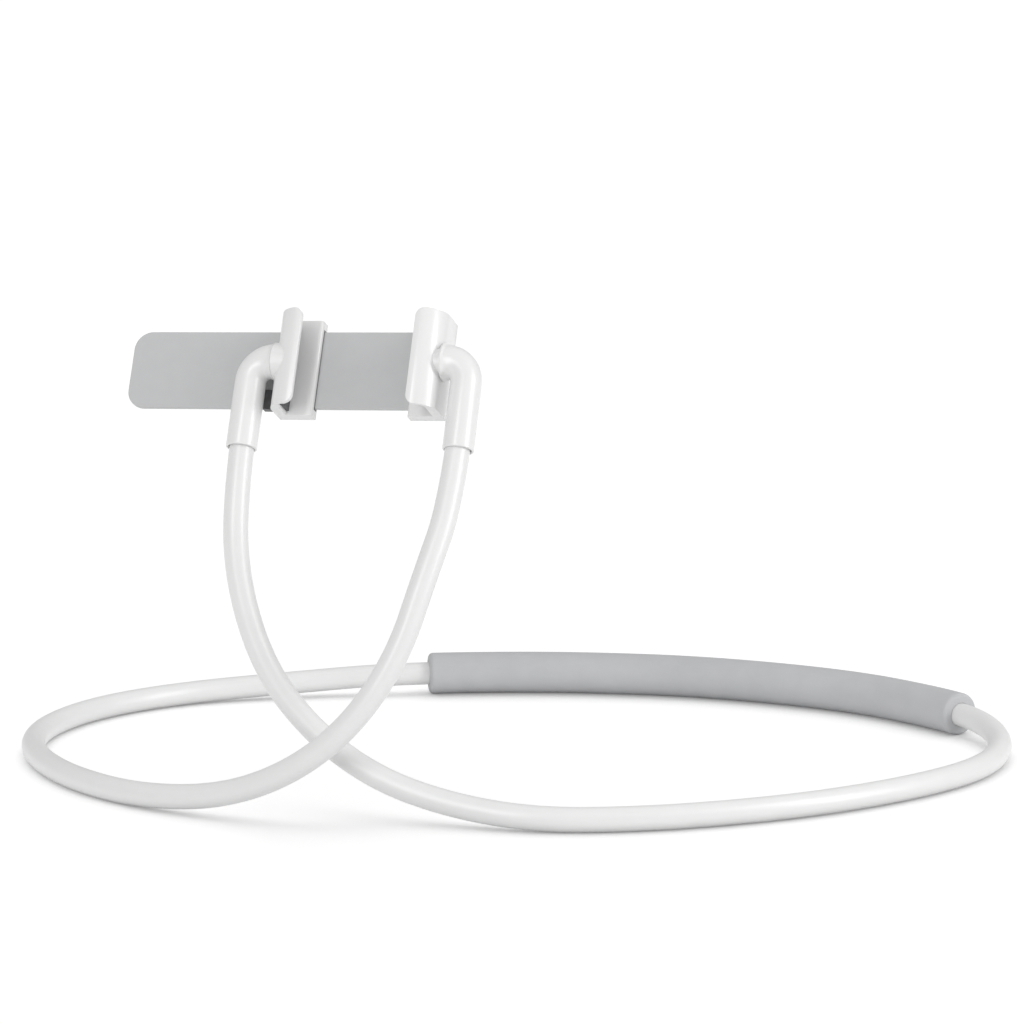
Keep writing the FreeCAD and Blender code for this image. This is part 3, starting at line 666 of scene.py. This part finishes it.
# %% Foam sleeve
FOAM_RADIUS = 0.011
FOAM_HOLE = 0.00615
FOAM_RIM = 0.0023
FOAM_RIM_STEPS = 6
FOAM_STEPS = 96
ROUND_VERTICES = 64
CLOSE = 1e-5


def pick(piece, kind, test):
    """Selects the faces or edges that pass a test of their place, and stays in edit mode."""
    bpy.ops.object.mode_set(mode="EDIT")
    bpy.ops.mesh.select_mode(type=kind)
    bpy.ops.mesh.select_all(action="DESELECT")
    bpy.ops.object.mode_set(mode="OBJECT")
    mesh = piece.data
    if kind == "FACE":
        for face in mesh.polygons:
            face.select = test(face.center, face.normal)
    else:
        for edge in mesh.edges:
            edge.select = test(*(mesh.vertices[index].co for index in edge.vertices))
    bpy.ops.object.mode_set(mode="EDIT")


def same(value, target):
    return abs(value - target) < CLOSE


foam_start = (on_route(FOAM_RUN[0]) + on_route(FOAM_RUN[1])) / 2
foam_end = (on_route(FOAM_RUN[-2]) + on_route(FOAM_RUN[-1])) / 2
foam_line = route_line("foam_line", [foam_start] + [on_route(p) for p in FOAM_RUN[1:-1]] + [foam_end])
line_mesh = bpy.data.meshes.new_from_object(foam_line)
line_steps = zip(line_mesh.vertices[:-1], line_mesh.vertices[1:])
foam_length = sum((b.co - a.co).length for a, b in line_steps)

bpy.ops.object.select_all(action="DESELECT")
bpy.ops.mesh.primitive_cylinder_add(
    vertices=ROUND_VERTICES,
    radius=FOAM_RADIUS,
    depth=foam_length,
    location=(foam_length / 2, 0, 0),
    rotation=(0, math.pi / 2, 0),
)
sleeve = bpy.context.object
sleeve.name = "neck_sleeve"
bpy.ops.object.transform_apply(location=True, rotation=True, scale=True)
HALF_WALL = (FOAM_HOLE + FOAM_RADIUS) / 2


def at_end(place):
    return same(place.x, 0) or same(place.x, foam_length)


def on_hole_rim(a, b):
    """An edge round the hole at either end of the straight sleeve."""
    return all(at_end(p) and math.hypot(p.y, p.z) < HALF_WALL for p in (a, b)) and same(a.x, b.x)


def on_outer_rim(a, b):
    """An edge round the outside at either end of the straight sleeve."""
    return all(at_end(p) and math.hypot(p.y, p.z) > HALF_WALL for p in (a, b)) and same(a.x, b.x)


pick(sleeve, "FACE", lambda centre, normal: at_end(centre))
bpy.ops.mesh.inset(thickness=FOAM_RADIUS - FOAM_HOLE, use_individual=True)
bpy.ops.mesh.delete(type="FACE")
pick(sleeve, "EDGE", on_hole_rim)
bpy.ops.mesh.bridge_edge_loops()
pick(sleeve, "EDGE", on_outer_rim)
bpy.ops.mesh.bevel(offset=FOAM_RIM, segments=FOAM_RIM_STEPS, affect="EDGES")
pick(sleeve, "EDGE", lambda a, b: abs(a.x - b.x) > foam_length / 2)
bpy.ops.mesh.subdivide(number_cuts=FOAM_STEPS)
bpy.ops.object.mode_set(mode="OBJECT")

only(sleeve)
bend = sleeve.modifiers.new("bend_on_route", "CURVE")
bend.object = foam_line
bend.deform_axis = "POS_X"
bpy.ops.object.modifier_apply(modifier=bend.name)
bpy.ops.object.shade_smooth_by_angle(angle=ROLL_SMOOTH)
sleeve.data.materials.append(grey_foam)
bpy.data.objects.remove(foam_line)
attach(sleeve, "neck")
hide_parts("neck_foam")
print("sleeve length", round(foam_length, 4), "faces", len(sleeve.data.polygons))

# %% [markdown]
# ## The elbows
# Each elbow is one moulding: a flat swivel face, a short stub that tapers, a bend, and a straight collar
# that grips the tube. A curve with a taper could do it, but a disc that is extruded step by step along
# the stub and round the bend, and made smaller at each step, keeps the taper exactly where the mould has it.

# %% Elbows
ELBOW_FACE = 0.0425
ARM_RADIUS = 0.0095
LEG_RADIUS = 0.0075
STUB_LENGTH = 0.0015
STUB_RADIUS = 0.0086
STUB_STEPS = 5
BEND_RADIUS = 0.0103
BEND_STEPS = 20
MOUTH_RADIUS = 0.0066
MOUTH_DEPTH = 0.0007
MOUTH_EDGE = (MOUTH_RADIUS + LEG_RADIUS) / 2
SOCKET_RADIUS = 0.00615
ARM_RIM = 0.0004
ARM_RIM_STEPS = 3
COLLAR_RIM = 0.0006
COLLAR_RIM_STEPS = 4
SMOOTH_ANGLE = math.radians(20)


def stub_radius(share):
    """The radius along the stub, from the swivel face at 0 to the start of the bend at 1."""
    return ARM_RADIUS + (STUB_RADIUS - ARM_RADIUS) * share


def bend_radius(share):
    """The radius along the bend, from the stub at 0 to the leg at 1."""
    return LEG_RADIUS + (STUB_RADIUS - LEG_RADIUS) * (1 - share) ** 2


def push(step):
    """Extrudes the selected face along a step."""
    bpy.ops.mesh.extrude_region_move(TRANSFORM_OT_translate={"value": step})


def shrink(ratio, centre):
    bpy.ops.transform.resize(value=(ratio, ratio, ratio), center_override=centre)


def settle(piece, finish_material, slot, body, *replaced):
    """Sets a piece that was drawn in the clamp's frame in place, dresses it and hands it to its body."""
    only(piece)
    piece.data.transform(CLAMP)
    bpy.ops.object.shade_smooth_by_angle(angle=SMOOTH_ANGLE)
    piece.data.materials.clear()
    piece.data.materials.append(finish_material)
    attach(piece, body)
    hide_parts(*replaced)
    print(piece.name, "faces", len(piece.data.polygons))


def elbow(word, side, body):
    bpy.ops.object.select_all(action="DESELECT")
    bpy.ops.mesh.primitive_circle_add(
        vertices=ROUND_VERTICES,
        radius=ARM_RADIUS,
        fill_type="NGON",
        location=(side * ELBOW_FACE, 0, 0),
        rotation=(0, side * math.pi / 2, 0),
    )
    piece = bpy.context.object
    piece.name = f"{word}_elbow_shell"
    bpy.ops.object.transform_apply(location=True, rotation=True, scale=True)
    bpy.ops.object.mode_set(mode="EDIT")
    bpy.ops.mesh.select_mode(type="FACE")
    bpy.ops.mesh.select_all(action="SELECT")
    for step in range(1, STUB_STEPS + 1):
        reach = STUB_LENGTH * step / STUB_STEPS
        push((side * STUB_LENGTH / STUB_STEPS, 0, 0))
        ratio = stub_radius(step / STUB_STEPS) / stub_radius((step - 1) / STUB_STEPS)
        shrink(ratio, Vector((side * (ELBOW_FACE + reach), 0, 0)))
    hub = Vector((side * (ELBOW_FACE + STUB_LENGTH), 0, -BEND_RADIUS))
    turn = math.pi / 2 / BEND_STEPS
    for step in range(1, BEND_STEPS + 1):
        push((0, 0, 0))
        bpy.ops.transform.rotate(value=-side * turn, orient_axis="Y", center_override=hub)
        angle = step * turn
        centre = hub + Vector((side * BEND_RADIUS * math.sin(angle), 0, BEND_RADIUS * math.cos(angle)))
        shrink(bend_radius(step / BEND_STEPS) / bend_radius((step - 1) / BEND_STEPS), centre)
    push((0, 0, COLLAR + BEND_RADIUS))
    bpy.ops.mesh.inset(thickness=LEG_RADIUS - MOUTH_RADIUS)
    push((0, 0, MOUTH_DEPTH))
    shrink(SOCKET_RADIUS / MOUTH_RADIUS, Vector((side * LEG_X, 0, COLLAR + MOUTH_DEPTH)))
    push((0, 0, TUBE_END - COLLAR - MOUTH_DEPTH))
    bpy.ops.mesh.select_all(action="SELECT")
    bpy.ops.mesh.normals_make_consistent(inside=False)

    def on_arm_rim(a, b):
        return all(same(side * p.x, ELBOW_FACE) for p in (a, b))

    def on_collar_rim(a, b):
        return all(same(p.z, COLLAR) and math.hypot(p.x - side * LEG_X, p.y) > MOUTH_EDGE for p in (a, b))

    pick(piece, "EDGE", on_arm_rim)
    bpy.ops.mesh.bevel(offset=ARM_RIM, segments=ARM_RIM_STEPS, affect="EDGES")
    pick(piece, "EDGE", on_collar_rim)
    bpy.ops.mesh.bevel(offset=COLLAR_RIM, segments=COLLAR_RIM_STEPS, affect="EDGES")
    bpy.ops.object.mode_set(mode="OBJECT")
    settle(piece, white_plastic, "white_plastic", body, f"{word}_elbow")


SIDES = {"left": (-1, "left_arm"), "right": (1, "neck")}
for word, (side, body) in SIDES.items():
    elbow(word, side, body)

# %% [markdown]
# ## Tools for the clamp
# The jaws and the pads start from boxes and round bars, as a mould maker's blanks do.
# Blanks are cut from one another or welded with booleans, and a last bevel softens what is still sharp.

# %% Blanks, cuts and welds
EDGE_ANGLE = math.radians(40)


def block(name, x, y, z):
    """A box between pairs of planes, with its place in its mesh."""
    bpy.ops.object.select_all(action="DESELECT")
    bpy.ops.mesh.primitive_cube_add(size=1, location=[(low + high) / 2 for low, high in (x, y, z)])
    piece = bpy.context.object
    piece.name = name
    piece.scale = [abs(high - low) for low, high in (x, y, z)]
    bpy.ops.object.transform_apply(location=True, rotation=True, scale=True)
    return piece


def peg(name, middle, length, radius, turn, vertices=ROUND_VERTICES):
    """A round bar about a middle point, turned from upright."""
    bpy.ops.object.select_all(action="DESELECT")
    bpy.ops.mesh.primitive_cylinder_add(
        vertices=vertices, radius=radius, depth=length, location=middle, rotation=turn
    )
    piece = bpy.context.object
    piece.name = name
    bpy.ops.object.transform_apply(location=True, rotation=True, scale=True)
    return piece


def carve(piece, *cutters):
    """Cuts other pieces out of one and throws them away."""
    for cutter in cutters:
        only(piece)
        cutting = piece.modifiers.new("carve", "BOOLEAN")
        cutting.operation = "DIFFERENCE"
        cutting.object = cutter
        bpy.ops.object.modifier_apply(modifier=cutting.name)
        bpy.data.objects.remove(cutter)


def weld(piece, other):
    """Joins another piece to one as a single moulding."""
    only(piece)
    joining = piece.modifiers.new("weld", "BOOLEAN")
    joining.operation = "UNION"
    joining.object = other
    bpy.ops.object.modifier_apply(modifier=joining.name)
    bpy.data.objects.remove(other)


def soften(piece, width, segments):
    """Rounds every edge that is still sharp."""
    only(piece)
    rounding = piece.modifiers.new("soft_edges", "BEVEL")
    rounding.width = width
    rounding.segments = segments
    rounding.limit_method = "ANGLE"
    rounding.angle_limit = EDGE_ANGLE
    bpy.ops.object.modifier_apply(modifier=rounding.name)


def slice_at(axis, place):
    """Cuts the whole mesh in edit mode with a plane across one axis."""
    normal = Vector((0, 0, 0))
    normal[axis] = 1
    bpy.ops.mesh.select_all(action="SELECT")
    bpy.ops.mesh.bisect(plane_co=normal * place, plane_no=normal)


def upright(side, x, y):
    """A test for the edge that stands at one place of a jaw's outline."""
    return lambda a, b: all(same(side * p.x, x) and same(p.y, y) for p in (a, b))


# %% [markdown]
# ## The lip's corners
# The lip that shows in front has round corners at both ends. A bevel there would run on round the jaw,
# so a small cutter takes off just what a rounded corner leaves over.

# %% Lip corners
LIP_EDGE = 0.0285
LIP_FRONT = -0.0106
LIP_BACK = -0.0082
LIP_CORNER = 0.0045
JAW_TOP = 0.02435
CUT = 0.001
ALONG_Y = (math.pi / 2, 0, 0)


def corner_cutter(side, end):
    """What a rounded corner leaves over at the lip's upper or lower end."""
    x = [side * (LIP_EDGE - CUT), side * (LIP_EDGE + LIP_CORNER)]
    y = (LIP_FRONT - CUT, LIP_BACK + CUT / 2)
    z = [end * (JAW_TOP - LIP_CORNER), end * (JAW_TOP + CUT)]
    cutter = block("corner_cutter", x, y, z)
    middle = (x[1], sum(y) / 2, z[0])
    carve(cutter, peg("corner_round", middle, 2 * (y[1] - y[0]), LIP_CORNER, ALONG_Y))
    return cutter


# %% [markdown]
# ## The swivel bosses
# The elbow turns against a flat round boss, which stands on the jaw's curved side.
# A full round bar would show inside the jaw, so a core in the jaw's own outline is cut out of it first.
# The right boss is smaller than the left one, because less of it shows beside its elbow.

# %% Swivel bosses
WALL_OUTER = 0.042
COVER_FRONT = 0.01315
JAW_CORNER = 0.012
CORNER_STEPS = 20
BOSS_RADII = {"left": 0.0093, "right": 0.007}
BOSS_SINK = 0.001
BOSS_PROUD = 0.0004
ALONG_X = (0, math.pi / 2, 0)


def swivel_boss(word, side):
    """A round boss on the jaw's curved side, against which the elbow turns."""
    x = [side * (WALL_OUTER - JAW_CORNER), side * (WALL_OUTER + BOSS_PROUD)]
    boss = peg("swivel_boss", (sum(x) / 2, 0, 0), abs(x[1] - x[0]), BOSS_RADII[word], ALONG_X)
    core_side = WALL_OUTER - BOSS_SINK
    core_front = LIP_FRONT + BOSS_SINK
    core = block("boss_core", (0, side * core_side), (core_front, COVER_FRONT), (-JAW_TOP, JAW_TOP))
    pick(core, "EDGE", upright(side, core_side, core_front))
    bpy.ops.mesh.bevel(offset=JAW_CORNER - BOSS_SINK, segments=CORNER_STEPS, affect="EDGES")
    bpy.ops.object.mode_set(mode="OBJECT")
    carve(boss, core)
    return boss


# %% [markdown]
# ## The jaws
# A jaw is a C: an outer wall, a lip in front that holds what is clamped, and a block that carries the plate.
# It is drawn as the wall alone, cut into three strips, and the two outer strips are pulled inwards.
# Bevels give each upright edge its own radius. The corners are cut, the boss is welded on, and the slot,
# the screw's hole and its recess are cut last, so that their edges stay crisp.

# %% Jaws
WALL_INNER = 0.037
BLOCK_FRONT = 0.00755
BLOCK_INNER = 0.024
JAW_INNER_CORNER = 0.004
INNER_CORNER_STEPS = 8
BLOCK_CORNER = 0.0016
BLOCK_CORNER_STEPS = 6
FLAT_ANGLE = math.radians(1)
JAW_RIM = 0.0007
JAW_RIM_STEPS = 3
LINER_FRONT = 0.00975
LINER_TOP = 0.02055
PLATE_FRONT = 0.0106
PLATE_TOP = 0.0197
PLATE_END = 0.04
PLATE_FIT = 0.0001
SLOTS = {
    "left": (WALL_OUTER + CUT, LINER_FRONT, LINER_TOP),
    "right": (PLATE_END + PLATE_FIT, PLATE_FRONT, PLATE_TOP + PLATE_FIT),
}
PIVOT_HOLE = 0.0021
PIVOT_RECESS = 0.00425
WEB_INNER = 0.03965
BORE_VERTICES = 40


def bore(name, x, radius):
    """A round cutter along the swivel axis."""
    return peg(name, (sum(x) / 2, 0, 0), abs(x[1] - x[0]), radius, ALONG_X, BORE_VERTICES)


def jaw(word, side, body):
    wall = (side * WALL_INNER, side * WALL_OUTER)
    piece = block(f"{word}_jaw_shell", wall, (LIP_FRONT, COVER_FRONT), (-JAW_TOP, JAW_TOP))
    bpy.ops.object.mode_set(mode="EDIT")
    slice_at(1, LIP_BACK)
    slice_at(1, BLOCK_FRONT)

    def inner(centre):
        return same(side * centre.x, WALL_INNER)

    pick(piece, "FACE", lambda centre, normal: inner(centre) and centre.y < LIP_BACK)
    push((side * (LIP_EDGE - WALL_INNER), 0, 0))
    pick(piece, "FACE", lambda centre, normal: inner(centre) and centre.y > BLOCK_FRONT)
    push((side * (BLOCK_INNER - WALL_INNER), 0, 0))
    bpy.ops.mesh.select_all(action="SELECT")
    bpy.ops.mesh.normals_make_consistent(inside=False)
    bpy.ops.mesh.dissolve_limited(angle_limit=FLAT_ANGLE)
    for test, radius, segments in (
        (upright(side, WALL_OUTER, LIP_FRONT), JAW_CORNER, CORNER_STEPS),
        (upright(side, WALL_INNER, LIP_BACK), JAW_INNER_CORNER, INNER_CORNER_STEPS),
        (upright(side, BLOCK_INNER, BLOCK_FRONT), BLOCK_CORNER, BLOCK_CORNER_STEPS),
    ):
        pick(piece, "EDGE", test)
        bpy.ops.mesh.bevel(offset=radius, segments=segments, affect="EDGES")
    bpy.ops.mesh.select_all(action="SELECT")
    bpy.ops.mesh.normals_make_consistent(inside=False)
    bpy.ops.object.mode_set(mode="OBJECT")
    carve(piece, corner_cutter(side, 1), corner_cutter(side, -1))
    soften(piece, JAW_RIM, JAW_RIM_STEPS)
    weld(piece, swivel_boss(word, side))
    slot_end, slot_front, slot_top = SLOTS[word]
    slot_run = (side * (BLOCK_INNER - CUT), side * slot_end)
    inside = side * (WALL_INNER - CUT)
    carve(
        piece,
        block("slot_cutter", slot_run, (slot_front, COVER_FRONT + CUT), (-slot_top, slot_top)),
        bore("hole_cutter", (inside, side * (WALL_OUTER + 2 * CUT)), PIVOT_HOLE),
        bore("recess_cutter", (inside, side * WEB_INNER), PIVOT_RECESS),
    )
    settle(piece, white_plastic, "white_plastic", body, f"{word}_jaw")


JAW_BODIES = {"left": "left_jaw", "right": "head"}
for word, (side, _) in SIDES.items():
    jaw(word, side, JAW_BODIES[word])

# %% [markdown]
# ## The ribbed pads
# A strip of soft dark rubber lines each jaw so that what is clamped does not slip.
# A bump could draw the ribs, but it would leave the strip's edge straight. So they are real: the strip is
# sliced across, and every second slice is pushed in.

# %% Ribbed pads
PAD_FACE = 0.0355
PAD_FRONT = -0.0038
PAD_BACK = 0.00715
PAD_TOP = 0.02235
GROOVES = 9
GROOVE_PITCH = 0.0044
GROOVE_WIDTH = 0.0012
GROOVE_DEPTH = 0.0005
RIB_ROUNDING = 0.00018
RIB_STEPS = 2


def ribbed_pad(word, side, body):
    depth = (side * PAD_FACE, side * WALL_INNER)
    piece = block(f"{word}_ribbed_pad", depth, (PAD_FRONT, PAD_BACK), (-PAD_TOP, PAD_TOP))
    bpy.ops.object.mode_set(mode="EDIT")
    middles = [(index - (GROOVES - 1) / 2) * GROOVE_PITCH for index in range(GROOVES)]
    for middle in middles:
        slice_at(2, middle - GROOVE_WIDTH / 2)
        slice_at(2, middle + GROOVE_WIDTH / 2)

    def in_groove(centre, normal):
        return same(side * centre.x, PAD_FACE) and any(same(centre.z, middle) for middle in middles)

    pick(piece, "FACE", in_groove)
    push((side * GROOVE_DEPTH, 0, 0))
    bpy.ops.mesh.select_all(action="SELECT")
    bpy.ops.mesh.normals_make_consistent(inside=False)
    bpy.ops.object.mode_set(mode="OBJECT")
    soften(piece, RIB_ROUNDING, RIB_STEPS)
    settle(piece, dark_pad, "dark_pad", body, f"{word}_pad")


for word, (side, _) in SIDES.items():
    ribbed_pad(word, side, JAW_BODIES[word])
